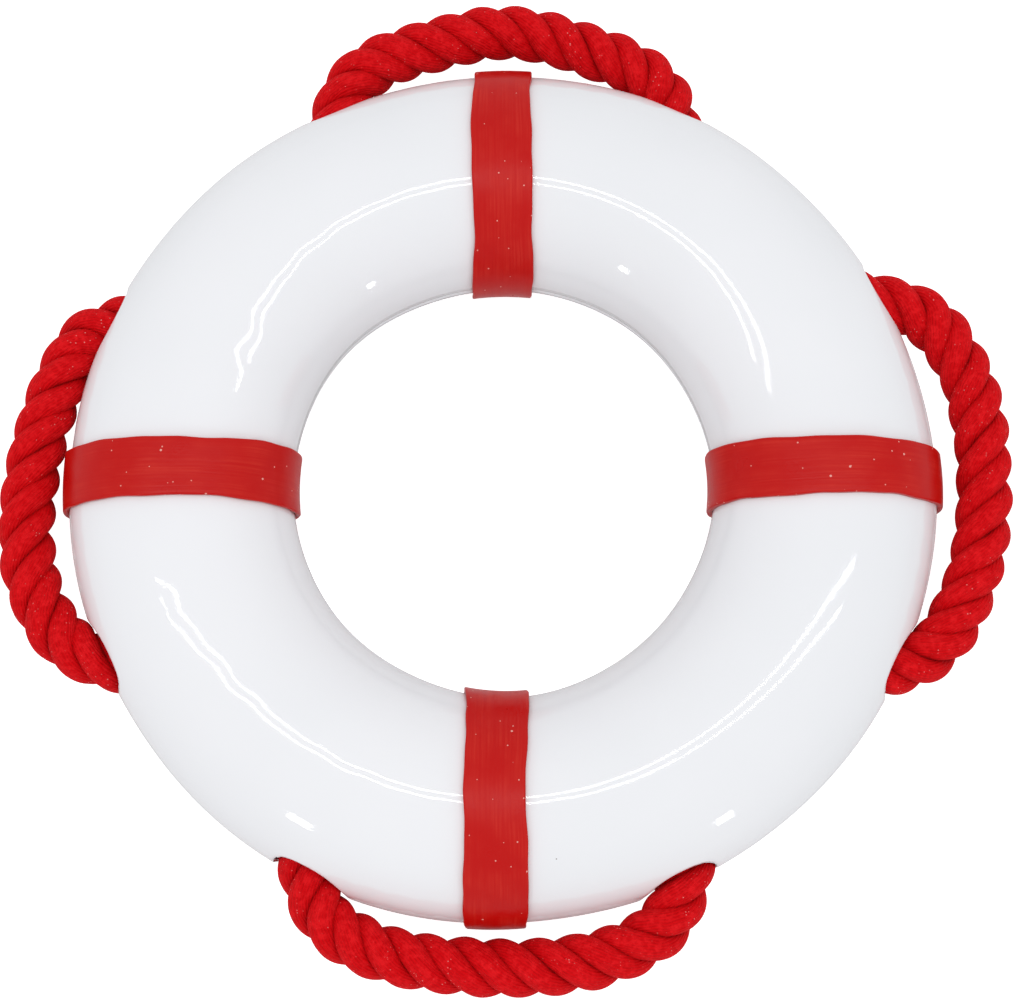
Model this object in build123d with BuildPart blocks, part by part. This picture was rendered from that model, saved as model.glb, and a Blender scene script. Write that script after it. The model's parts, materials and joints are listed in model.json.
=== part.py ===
"""Ring lifebuoy with a rope grab line, modelled piece by piece as it comes apart on a bench.

The body is a hollow moulded ring with an oval section: two half shells, joined round the middle plane
and filled with foam. Four curved sleeves run through it near the outside. One soft three-strand rope
passes through all four and stands out between them as four grab loops, and its two ends meet inside
one sleeve. A red band goes round the section at the middle of each loop.

Frame: origin at the centre of the ring, +Z along its axis towards the front, +Y towards the top band.
Going round the ring anticlockwise, seen from the front, the order is right, top, left, bottom.
"""

import os
from math import cos, pi, radians, sin, sqrt, tan

from build123d import *

os.makedirs("parts", exist_ok=True)

# ------------------------------------------------------------------ driving dimensions, in mm
ring_diameter = 350.0  # over the white body
hole_diameter = 170.0  # inside the white body
ring_depth = 74.0  # front to back, without the bands
shell_wall = 2.0
glue_gap = 0.1  # between pieces that are glued or foamed together

lip_height = 4.0  # the front shell's lip reaches this far into the back shell
lip_thickness = 1.4
tab_angle = 25.0  # round the ring; the outer lip is four tabs, clear of the sleeves

band_width = 25.0
band_thickness = 2.3
band_blank_angle = 28.0  # of the ring, before the band is cut to width
band_slit = 0.8  # between the two ends of a band, at the back
band_shift = {"right": 0.0, "top": 0.0, "left": 0.0, "bottom": -2.6}  # sideways, along X or Y

rope_diameter = 22.0
sleeve_bore = 27.2  # wide enough for the loops to swing without touching the rims of the mouths
sleeve_wall = 1.5
bore_reach = 4  # points of each loop's route that the bore through the body follows
sleeve_reach = 3  # and that the sleeves follow, before they are cut off at the shells
ball_inset = 0.1  # the ball on a loop's end is this much under the rope's radius
stop_depth = 12.0  # the rope inside a sleeve stops this far inside the ball's centre

binding_length = 34.0  # shrunk sleeve over the rope's two ends
binding_thickness = 0.6
binding_gap = 0.05

fill_plug_radius = 9.0
vent_plug_radius = 6.0
plug_head_height = 1.3
plug_stem_length = 9.0
plug_stem_ratio = 0.62  # stem radius over head radius
plug_edge_round = 0.5
plug_angle = {"fill_plug": 45.0, "vent_plug": 225.0}  # degrees round the ring, on the back

# The rope's route in the middle plane, anticlockwise. The first and the last point of each loop lie
# inside the body, so the rope crosses the surface of the body on the first and on the last run.
loop_routes = {
    "right": [(135.5, -87), (169.5, -67.5), (184, -49.5), (192.5, -28), (195.5, -3),
              (195, 23.5), (191, 45.5), (181.5, 62.5), (168, 74.5), (130.5, 89)],
    "top": [(81.5, 135), (67.5, 168), (56, 179.5), (37, 188), (15, 195.5),
            (-5, 197), (-28.5, 191), (-48.5, 184), (-63, 171.5), (-82.5, 136.5)],
    "left": [(-135.5, 84), (-168, 64.5), (-178.5, 50), (-186, 31), (-191, 8),
             (-193, -16), (-190.5, -36.5), (-182, -54.5), (-167.5, -67.5), (-135.5, -81.5)],
    "bottom": [(-89, -133), (-71.5, -168), (-58.5, -181), (-39.5, -188.5), (-14, -191.5),
               (11, -192), (36, -189), (54, -182), (67, -169), (82, -135.5)],
}

# ------------------------------------------------------------------ worked out from them
section_radius = (ring_diameter + hole_diameter) / 4  # ring centre to section centre
half_width = (ring_diameter - hole_diameter) / 4
half_depth = ring_depth / 2
rope_radius = rope_diameter / 2
bore_radius = sleeve_bore / 2
sleeve_radius = bore_radius + sleeve_wall
ball_radius = rope_radius - ball_inset
arc_share = 0.45  # of the shorter run, taken by each arc of the rope

sides = ["right", "top", "left", "bottom"]
side_angle = {"right": 0.0, "top": 90.0, "left": 180.0, "bottom": 270.0}
corners = ["upper_right", "upper_left", "lower_left", "lower_right"]
corner_with_rope_ends = "lower_left"
tab_start = -tab_angle / 2
band_blank_start = -band_blank_angle / 2


# ------------------------------------------------------------------ shapes that several pieces share
def ring_solid(inset):
    """Solid ring with the body's oval section, set in by inset all round."""
    with BuildPart() as ring:
        with BuildSketch(Plane.XZ):
            with Locations((section_radius, 0)):
                Ellipse(half_width - inset, half_depth - inset)
        revolve(axis=Axis.Z)
    return ring.part


def layer_section(outer_inset, inner_inset, low, high):
    """Section of the layer between two insets of the body, kept between two heights."""
    with BuildSketch(Plane.XZ) as layer:
        with Locations((section_radius, 0)):
            Ellipse(half_width - outer_inset, half_depth - outer_inset)
            Ellipse(half_width - inner_inset, half_depth - inner_inset, mode=Mode.SUBTRACT)
        with Locations((section_radius, (low + high) / 2)):
            Rectangle(ring_diameter, high - low, mode=Mode.INTERSECT)
    return layer.sketch


def turn_between(before, after):
    """Angle in radians by which the route turns from one run to the next."""
    return radians(before.get_angle(after))


def corner_radii(points):
    """One arc radius for each corner: as large as its two runs allow."""
    runs = [b - a for a, b in zip(points, points[1:])]
    return [
        arc_share * min(a.length, b.length) / tan(turn_between(a, b) / 2)
        for a, b in zip(runs, runs[1:])
    ]


def tube(points, radii, tube_radius):
    """Round bar along straight runs joined by tangent arcs."""
    with BuildPart() as bar:
        with BuildLine() as path:
            FilletPolyline(*points, radius=radii)
        with BuildSketch(path.wire() ^ 0):
            Circle(tube_radius)
        sweep()
    return bar.part, path.wire().length


def mouth_on_run(inside, outside):
    """Where a run leaves the body, and the direction in which it does."""
    way = (outside - inside).normalized()
    along = inside.dot(way)
    reach = sqrt(along**2 + (ring_diameter / 2) ** 2 - inside.dot(inside)) - along
    return inside + way * reach, way


def on_ring(angle, height):
    """Point over the middle of the section, at an angle round the ring."""
    return (section_radius * cos(radians(angle)), section_radius * sin(radians(angle)), height)


# ------------------------------------------------------------------ the rope's route
route = {side: [Vector(x, y) for x, y in loop_routes[side]] for side in sides}
next_side = dict(zip(sides, sides[1:] + sides[:1]))
side_before = {after: side for side, after in next_side.items()}
corner_after = dict(zip(sides, corners))
tunnel_middle = {
    corner_after[side]: (route[side][-1] + route[next_side[side]][0]) / 2 for side in sides
}
first_mouth = {side: mouth_on_run(route[side][0], route[side][1]) for side in sides}
last_mouth = {side: mouth_on_run(route[side][-1], route[side][-2]) for side in sides}

quarter_ropes = {}
arc_radii = {}
for side in sides:
    start = tunnel_middle[corner_after[side_before[side]]]
    end = tunnel_middle[corner_after[side]]
    points = [start, *route[side], end]
    radii = corner_radii(points)
    quarter_ropes[side], length = tube(points, radii, rope_radius)
    arc_radii[side] = radii
    section_times_length = pi * rope_radius**2 * length
    print(
        f"rope {side}: length {length:.1f} mm, arc radii",
        [round(radius, 1) for radius in radii],
        f"volume over section x length {quarter_ropes[side].volume / section_times_length:.4f}",
    )

# ------------------------------------------------------------------ bores and sleeve envelopes
def tunnel_route(side, reach):
    """Points and arc radii of the rope's way through the body after a loop, from outside to outside."""
    after = next_side[side]
    points = [*route[side][-reach:], *route[after][:reach]]
    radii = [*arc_radii[side][1 - reach :], *arc_radii[after][: reach - 1]]
    return points, radii


bores = {}
sleeve_envelopes = {}
sleeve_clearances = {}
for side in sides:
    corner = corner_after[side]
    bores[corner] = tube(*tunnel_route(side, bore_reach), bore_radius)[0]
    sleeve_route = tunnel_route(side, sleeve_reach)
    sleeve_envelopes[corner] = tube(*sleeve_route, sleeve_radius)[0]
    sleeve_clearances[corner] = tube(*sleeve_route, sleeve_radius + glue_gap)[0]

# ------------------------------------------------------------------ plugs for the foam and the air
outer_body = ring_solid(0)
plug_radius = {"fill_plug": fill_plug_radius, "vent_plug": vent_plug_radius}

plugs = {}
plug_holes = {}
for name, head_radius in plug_radius.items():
    stem_radius = plug_stem_ratio * head_radius
    seat = on_ring(plug_angle[name], -half_depth)
    with BuildPart() as head:
        with Locations(seat):
            Cylinder(head_radius, 2 * plug_head_height)
        fillet(head.edges().group_by(Axis.Z)[0], plug_edge_round)
        add(outer_body, mode=Mode.SUBTRACT)
    with BuildPart() as plug:
        add(head.part)
        with Locations(seat):
            stem_base = (Align.CENTER, Align.CENTER, Align.MIN)
            Cylinder(stem_radius, plug_stem_length, align=stem_base)
        chamfer(plug.edges().group_by(Axis.Z)[-1], plug_edge_round)
    with BuildPart() as hole:
        with Locations(seat):
            Cylinder(stem_radius + glue_gap, 2 * (plug_stem_length + glue_gap))
    plugs[name] = plug.part
    plug_holes[name] = hole.part

# ------------------------------------------------------------------ the two half shells
front_section = layer_section(0, shell_wall, 0, ring_depth)
back_section = layer_section(0, shell_wall, -ring_depth, 0)

with BuildSketch(Plane.XZ) as lip_section:
    add(layer_section(shell_wall / 2, shell_wall + lip_thickness, 0, lip_height))
    add(layer_section(shell_wall + glue_gap, shell_wall + lip_thickness, -lip_height, 0))

with BuildPart() as inner_lip:
    with BuildSketch(Plane.XZ):
        add(lip_section.sketch)
        with Locations((section_radius / 2, 0)):
            Rectangle(section_radius, ring_depth, mode=Mode.INTERSECT)
    revolve(axis=Axis.Z)

with BuildPart() as outer_tab:
    with BuildSketch(Plane.XZ):
        add(lip_section.sketch)
        with Locations((section_radius * 3 / 2, 0)):
            Rectangle(section_radius, ring_depth, mode=Mode.INTERSECT)
    revolve(axis=Axis.Z, revolution_arc=tab_angle)

with BuildPart() as shell_front:
    with BuildSketch(Plane.XZ):
        add(front_section)
    revolve(axis=Axis.Z)
    add(inner_lip.part)
    for side in sides:
        add(outer_tab.part.rotate(Axis.Z, side_angle[side] + tab_start))
    for corner in corners:
        add(bores[corner], mode=Mode.SUBTRACT)
shell_front.part.label = "shell_front"

with BuildPart() as shell_back:
    with BuildSketch(Plane.XZ):
        add(back_section)
    revolve(axis=Axis.Z)
    for corner in corners:
        add(bores[corner], mode=Mode.SUBTRACT)
    for name in plug_holes:
        add(plug_holes[name], mode=Mode.SUBTRACT)
shell_back.part.label = "shell_back"

# ------------------------------------------------------------------ foam and sleeves inside the shells
foam_inset = shell_wall + glue_gap
lip_inset = shell_wall + lip_thickness + glue_gap
foam_block = ring_solid(foam_inset)

with BuildPart() as foam_core:
    with BuildSketch(Plane.XZ):
        with Locations((section_radius, 0)):
            Ellipse(half_width - foam_inset, half_depth - foam_inset)
            lip_room = Rectangle(ring_diameter, 2 * (lip_height + glue_gap), mode=Mode.PRIVATE)
            inside_lip = Ellipse(half_width - lip_inset, half_depth - lip_inset, mode=Mode.PRIVATE)
        add(lip_room - inside_lip, mode=Mode.SUBTRACT)
    revolve(axis=Axis.Z)
    for corner in corners:
        add(sleeve_clearances[corner], mode=Mode.SUBTRACT)
    for name in plug_holes:
        add(plug_holes[name], mode=Mode.SUBTRACT)
foam_core.part.label = "foam_core"

sleeves = []
for corner in corners:
    with BuildPart() as sleeve:
        add(sleeve_envelopes[corner])
        add(bores[corner], mode=Mode.SUBTRACT)
        add(foam_block, mode=Mode.INTERSECT)
    sleeve.part.label = f"rope_sleeve_{corner}"
    sleeves.append(sleeve.part)

for name, plug_part in plugs.items():
    plug_part.label = name

# ------------------------------------------------------------------ bands round the section
with BuildPart() as band_blank:
    with BuildSketch(Plane.XZ):
        add(layer_section(-band_thickness, -glue_gap, -ring_depth, ring_depth))
    revolve(axis=Axis.Z, revolution_arc=band_blank_angle)

bands = []
for side in sides:
    angle = radians(side_angle[side])
    middle = Plane(origin=on_ring(side_angle[side], 0), x_dir=(cos(angle), sin(angle), 0))
    with BuildPart() as band:
        add(band_blank.part.rotate(Axis.Z, side_angle[side] + band_blank_start))
        with Locations(middle):
            with Locations((0, band_shift[side], 0)):
                Box(3 * half_width, band_width, 2 * ring_depth, mode=Mode.INTERSECT)
        with Locations(middle.offset(-half_depth)):
            Box(band_slit, 2 * band_width, 4 * band_thickness, mode=Mode.SUBTRACT)
    band.part.label = f"band_{side}"
    bands.append(band.part)

# ------------------------------------------------------------------ the rope's four grab loops
loops = []
for side in sides:
    mouths = [first_mouth[side], last_mouth[side]]
    with BuildPart() as loop:
        add(quarter_ropes[side])
        for mouth, way in mouths:
            split(bisect_by=Plane(origin=mouth, z_dir=way), keep=Keep.TOP)
        with Locations(*[mouth for mouth, way in mouths]):
            Sphere(ball_radius)
    loop.part.label = f"rope_loop_{side}"
    loops.append(loop.part)


# ------------------------------------------------------------------ the rope inside the sleeves
def rope_inside(side, mouth, way):
    """The stretch of one quarter of the rope between a mouth and the middle of its sleeve."""
    with BuildPart() as stretch:
        add(quarter_ropes[side])
        split(bisect_by=Plane(origin=mouth - way * stop_depth, z_dir=way), keep=Keep.BOTTOM)
    return stretch.part


inner_ropes = []
for side in sides:
    after = next_side[side]
    corner = corner_after[side]
    coming = rope_inside(side, *last_mouth[side])
    going = rope_inside(after, *first_mouth[after])
    if corner == corner_with_rope_ends:
        coming.label = f"rope_end_from_{side}_loop"
        going.label = f"rope_end_from_{after}_loop"
        inner_ropes.extend([coming, going])
    else:
        with BuildPart() as length_inside:
            add(coming)
            add(going)
        length_inside.part.label = f"rope_inside_{corner}"
        inner_ropes.append(length_inside.part)

ends_meet = tunnel_middle[corner_with_rope_ends]
along_ends = route["bottom"][0] - route["left"][-1]
with BuildPart() as binding:
    with Locations(Plane(origin=ends_meet, z_dir=along_ends)):
        Cylinder(rope_radius + binding_gap + binding_thickness, binding_length)
        Cylinder(rope_radius + binding_gap, 2 * binding_length, mode=Mode.SUBTRACT)
binding.part.label = "rope_end_binding"

# ------------------------------------------------------------------ one file for each piece
pieces = [
    shell_front.part,
    shell_back.part,
    foam_core.part,
    *sleeves,
    *plugs.values(),
    *bands,
    *loops,
    *inner_ropes,
    binding.part,
]
for piece in pieces:
    export_step(piece, f"parts/{piece.label}.step")

for side in sides:
    first, last = first_mouth[side][0], last_mouth[side][0]
    axis = (first - last).normalized()
    print(f"loop {side}: swings about {tuple(first)} to {tuple(last)}, axis {tuple(axis)}")
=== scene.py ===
"""Ring lifebuoy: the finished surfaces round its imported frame.

The body is two glossy moulded half shells, four soft vinyl straps go round its section, and one thick
three-strand rope runs through the body and stands out in four grab loops. All lengths are in metres,
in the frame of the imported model: origin at the ring's centre, +Z along its axis towards the front.
"""

import json
import logging
import math
from collections.abc import Sequence
from dataclasses import dataclass, field
from enum import Enum

import bpy
import numpy as np
from mathutils import Matrix, Vector


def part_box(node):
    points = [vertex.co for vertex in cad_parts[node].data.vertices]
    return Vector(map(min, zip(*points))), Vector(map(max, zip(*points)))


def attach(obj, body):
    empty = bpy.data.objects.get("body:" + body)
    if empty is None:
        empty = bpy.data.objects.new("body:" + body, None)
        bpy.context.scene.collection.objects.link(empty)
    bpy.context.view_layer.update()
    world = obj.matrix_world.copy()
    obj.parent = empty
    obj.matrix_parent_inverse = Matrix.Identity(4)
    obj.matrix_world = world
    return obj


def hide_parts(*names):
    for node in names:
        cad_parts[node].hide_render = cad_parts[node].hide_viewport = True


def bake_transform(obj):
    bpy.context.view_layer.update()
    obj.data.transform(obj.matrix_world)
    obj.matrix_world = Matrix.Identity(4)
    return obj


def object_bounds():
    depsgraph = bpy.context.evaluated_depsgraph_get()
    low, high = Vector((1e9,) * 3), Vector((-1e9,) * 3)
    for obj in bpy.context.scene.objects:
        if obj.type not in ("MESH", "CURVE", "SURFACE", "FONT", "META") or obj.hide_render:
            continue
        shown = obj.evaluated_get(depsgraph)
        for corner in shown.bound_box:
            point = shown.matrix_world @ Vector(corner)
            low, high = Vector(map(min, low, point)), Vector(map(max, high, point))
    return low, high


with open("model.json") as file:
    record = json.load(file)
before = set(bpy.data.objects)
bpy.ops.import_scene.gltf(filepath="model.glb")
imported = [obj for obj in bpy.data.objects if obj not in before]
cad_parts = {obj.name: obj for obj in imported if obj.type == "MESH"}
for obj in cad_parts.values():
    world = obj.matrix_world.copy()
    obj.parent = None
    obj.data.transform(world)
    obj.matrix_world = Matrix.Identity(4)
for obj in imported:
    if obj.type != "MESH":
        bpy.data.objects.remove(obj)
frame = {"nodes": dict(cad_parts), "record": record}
CAD_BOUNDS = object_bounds()
UP = np.array([0.0, 0.0, 1.0])
MM = 0.001

log = logging.getLogger("lifebuoy")


class Side(Enum):
    """The four places of a strap and a grab loop, by their angle round the ring in degrees."""

    RIGHT = 0
    TOP = 90
    LEFT = 180
    BOTTOM = 270

    @property
    def word(self) -> str:
        """The word that node and piece names use."""
        return self.name.lower()

    @property
    def outward(self) -> Vector:
        """Unit vector from the ring's centre towards this side."""
        turn = math.radians(self.value)
        return Vector((round(math.cos(turn)), round(math.sin(turn)), 0))


class Half(Enum):
    """The two half shells, by the sign of their height."""

    FRONT = 1
    BACK = -1


# The rope's route in the middle plane, in millimetres, anticlockwise. Each loop starts and ends
# inside the body.
LOOP_ROUTES = {
    Side.RIGHT: [(132.5, -77.5), (170.5, -71), (184, -51), (192.5, -28), (195.5, -3),
                 (195, 23.5), (191, 45.5), (182, 63.5), (169.5, 76.5), (129.5, 82.5)],
    Side.TOP: [(75.5, 134), (69, 169), (56, 180.5), (37, 188), (15, 195.5),
               (-5, 197), (-28.5, 191), (-49.5, 184.5), (-66, 173), (-74, 135)],
    Side.LEFT: [(-134.5, 74), (-169.5, 66.5), (-179, 50), (-186, 31), (-191, 8),
                (-193, -16), (-190.5, -36.5), (-182.5, -55), (-169, -69.5), (-134, -75.5)],
    Side.BOTTOM: [(-80.5, -131), (-74.5, -168.5), (-59.5, -181.5), (-39.5, -188.5), (-14, -191.5),
                  (11, -192), (36, -189), (54.5, -182.5), (69, -170), (75.5, -133.5)],
}
# Each strap as fitted, against its nominal place: millimetres moved anticlockwise, and millimetres wider.
STRAP_FIT = {
    Side.RIGHT: (1.5, -1.9),
    Side.TOP: (0.2, -0.6),
    Side.LEFT: (-0.8, -0.6),
    Side.BOTTOM: (0.1, -0.3),
}
NEXT_SIDE = {Side.RIGHT: Side.TOP, Side.TOP: Side.LEFT, Side.LEFT: Side.BOTTOM, Side.BOTTOM: Side.RIGHT}
SIDE_BEFORE = {after: side for side, after in NEXT_SIDE.items()}


# ---------------------------------------- meshes from arrays
def quads_of_grid(rows: int, columns: int, wrap_columns: bool = False) -> np.ndarray:
    """Vertex numbers of each quad in a grid of rows by columns points.

    Args:
        rows: points along the first parameter.
        columns: points along the second parameter.
        wrap_columns: whether the last column joins the first.

    Returns:
        An array with four vertex numbers for each quad.
    """
    row = np.arange(rows - 1)[:, None]
    last = columns if wrap_columns else columns - 1
    column = np.arange(last)[None, :]
    beside = (column + 1) % columns
    corners = [row * columns + column, row * columns + beside,
               (row + 1) * columns + beside, (row + 1) * columns + column]
    return np.stack(np.broadcast_arrays(*corners), axis=-1).reshape(-1, 4)


def mesh_piece(name: str, points: np.ndarray, faces: list,
               corner_uv: np.ndarray | None = None) -> bpy.types.Object:
    """Makes a smooth-shaded object at the origin.

    Args:
        name: the piece's name.
        points: its vertices, one row each.
        faces: vertex numbers of each face.
        corner_uv: the UV of each face corner, in the order of the faces.

    Returns:
        The new object, linked to the scene.
    """
    mesh = bpy.data.meshes.new(name)
    mesh.from_pydata(points.tolist(), [], faces)
    if corner_uv is not None:
        layer = mesh.uv_layers.new(name="UVMap")
        layer.data.foreach_set("uv", corner_uv.astype(np.float32).ravel())
    mesh.polygons.foreach_set("use_smooth", np.ones(len(mesh.polygons), bool))
    mesh.update()
    piece = bpy.data.objects.new(name, mesh)
    bpy.context.scene.collection.objects.link(piece)
    return piece


def unit(vectors: np.ndarray) -> np.ndarray:
    """Vectors scaled to length 1."""
    return vectors / np.maximum(np.linalg.norm(vectors, axis=-1, keepdims=True), 1e-12)


def ease(share: np.ndarray) -> np.ndarray:
    """Smooth step: 3t^2 - 2t^3, with t held between 0 and 1."""
    t = np.clip(share, 0, 1)
    return t * t * (3 - 2 * t)


def waves(angle: np.ndarray, heights: Sequence[float], counts: Sequence[int],
          shifts: Sequence[float]) -> np.ndarray:
    """Sum of sine waves round a circle, each with its height, count and shift."""
    parts = [h * np.sin(n * angle + s) for h, n, s in zip(heights, counts, shifts)]
    return np.sum(parts, axis=0)


# ---------------------------------------- material graphs
class Graph:
    """A material's node tree, with short calls that add and join nodes."""

    def __init__(self, name: str) -> None:
        """Starts a material with a Principled shader on its output."""
        self.material = bpy.data.materials.new(name)
        self.material.use_nodes = True
        self.tree = self.material.node_tree
        self.tree.nodes.clear()
        output = self.tree.nodes.new("ShaderNodeOutputMaterial")
        self.shader = self.tree.nodes.new("ShaderNodeBsdfPrincipled")
        self.join(self.shader.outputs[0], output.inputs[0])

    def join(self, source: bpy.types.NodeSocket, target: bpy.types.NodeSocket) -> None:
        """Links one socket to another."""
        self.tree.links.new(source, target)

    def node(self, kind: str, inputs: dict | None = None, **settings: object) -> bpy.types.Node:
        """Adds a node.

        Args:
            kind: the node's type name after ShaderNode.
            inputs: for each input, by name or number, a socket to join or a constant value.
            **settings: the node's own options.

        Returns:
            The new node.
        """
        node = self.tree.nodes.new("ShaderNode" + kind)
        for option, value in settings.items():
            setattr(node, option, value)
        for key, value in (inputs or {}).items():
            if isinstance(value, bpy.types.NodeSocket):
                self.join(value, node.inputs[key])
            else:
                node.inputs[key].default_value = value
        return node

    def math(self, operation: str, first: object, second: object = 0.0) -> bpy.types.NodeSocket:
        """The result of a Math node."""
        return self.node("Math", {0: first, 1: second}, operation=operation).outputs[0]

    def ramp(self, factor: bpy.types.NodeSocket, low: float, high: float, start: float = 0.0,
             end: float = 1.0) -> bpy.types.NodeSocket:
        """Maps a factor between low and high, smoothly, onto start to end."""
        node = self.node("MapRange", {0: factor, 1: low, 2: high, 3: start, 4: end},
                         interpolation_type="SMOOTHSTEP")
        return node.outputs[0]

    def mix(self, factor: object, first: object, second: object) -> bpy.types.NodeSocket:
        """Mixes two colours."""
        node = self.node("Mix", data_type="RGBA")
        for key, value in ((0, factor), (6, first), (7, second)):
            if isinstance(value, bpy.types.NodeSocket):
                self.join(value, node.inputs[key])
            else:
                node.inputs[key].default_value = value
        return node.outputs[2]

    def noise(self, where: bpy.types.NodeSocket, scale: float, detail: float = 2.0,
              roughness: float = 0.5) -> bpy.types.NodeSocket:
        """The factor of a noise texture."""
        node = self.node("TexNoise", {"Vector": where, "Scale": scale, "Detail": detail,
                                      "Roughness": roughness})
        return node.outputs[0]

    def dots(self, where: bpy.types.NodeSocket, scale: float, radius: float,
             share: float) -> bpy.types.NodeSocket:
        """Round specks: 1 inside a speck and 0 outside.

        Args:
            where: coordinates.
            scale: cells for each unit of the coordinates.
            radius: of a speck, as a share of a cell.
            share: of the cells that hold a speck.

        Returns:
            The factor's socket.
        """
        cells = self.node("TexVoronoi", {"Vector": where, "Scale": scale})
        near = self.math("LESS_THAN", cells.outputs["Distance"], radius)
        channels = self.node("SeparateColor", {0: cells.outputs["Color"]})
        chosen = self.math("LESS_THAN", channels.outputs[0], share)
        return self.math("MULTIPLY", near, chosen)

    def bump(self, height: bpy.types.NodeSocket, distance: float, strength: float = 1.0,
             under: bpy.types.NodeSocket | None = None) -> bpy.types.NodeSocket:
        """A bumped normal, on top of another one when it is given."""
        inputs = {"Height": height, "Distance": distance, "Strength": strength}
        if under is not None:
            inputs["Normal"] = under
        return self.node("Bump", inputs).outputs[0]

    def object_place(self) -> bpy.types.NodeSocket:
        """Object coordinates, in metres."""
        return self.node("TexCoord").outputs["Object"]

    def uv_place(self) -> bpy.types.NodeSocket:
        """The piece's own UV map."""
        return self.node("UVMap", uv_map="UVMap").outputs[0]

    def set(self, **inputs: object) -> None:
        """Sets or joins the shader's inputs, named with underscores for spaces."""
        for key, value in inputs.items():
            socket = self.shader.inputs[key.replace("_", " ")]
            if isinstance(value, bpy.types.NodeSocket):
                self.join(value, socket)
            else:
                socket.default_value = value


def colour(red: float, green: float, blue: float) -> tuple[float, float, float, float]:
    """An opaque colour."""
    return (red, green, blue, 1.0)


@dataclass(frozen=True)
class MouldedSkin:
    """Glossy white moulded plastic, with faint waves, a soft clouding and a few dark specks."""

    base: tuple = colour(0.87, 0.875, 0.895)
    clouded: tuple = colour(0.84, 0.85, 0.87)
    speck: tuple = colour(0.25, 0.22, 0.2)
    roughness: float = 0.045

    def material(self) -> bpy.types.Material:
        """Builds the material."""
        g = Graph("moulded_skin")
        place = g.object_place()
        clouds = g.ramp(g.noise(place, 9.0, 3.0), 0.35, 0.75)
        body = g.mix(clouds, self.base, self.clouded)
        specks = g.dots(place, 55.0, 0.022, 0.16)
        ripple = g.bump(g.noise(place, 42.0, 1.0), 0.00035, 0.2)
        grain = g.bump(g.noise(place, 900.0, 2.0), 0.00002, 0.35, ripple)
        g.set(Base_Color=g.mix(specks, body, self.speck),
              Roughness=g.ramp(g.noise(place, 16.0, 3.0), 0.42, 0.8, self.roughness, self.roughness + 0.02),
              Normal=grain)
        g.set(IOR=1.5)
        return g.material


@dataclass(frozen=True)
class StrapVinyl:
    """Satin red vinyl: drawn streaks along the strap, a paler bloom, air bubbles and lint."""

    base: tuple = colour(0.52, 0.003, 0.002)
    bloom: tuple = colour(0.60, 0.022, 0.012)
    bubble: tuple = colour(0.8, 0.35, 0.3)

    def material(self) -> bpy.types.Material:
        """Builds the material. The UV map is in millimetres, along the strap and across it."""
        g = Graph("strap_vinyl")
        flat = g.uv_place()
        drawn = g.node("Mapping", {"Vector": flat, "Scale": (0.018, 0.9, 1.0)}).outputs[0]
        streaks = g.noise(drawn, 1.0, 4.0, 0.6)
        patches = g.noise(flat, 0.06, 3.0)
        bloom = g.math("MULTIPLY", g.ramp(streaks, 0.35, 0.75), g.ramp(patches, 0.35, 0.7))
        body = g.mix(bloom, self.base, self.bloom)
        fine = g.dots(flat, 0.42, 0.13, 0.14)
        large = g.dots(flat, 0.16, 0.075, 0.3)
        bubbles = g.math("MAXIMUM", fine, large)
        relief = g.bump(streaks, 0.00025, 0.35)
        g.set(Base_Color=g.mix(bubbles, body, self.bubble),
              Roughness=g.ramp(patches, 0.3, 0.75, 0.27, 0.42),
              Normal=g.bump(bubbles, 0.0002, 0.5, g.bump(g.noise(flat, 0.35, 3.0), 0.0002, 0.25, relief)))
        g.set(IOR=1.52, Specular_IOR_Level=0.17)
        return g.material


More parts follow.
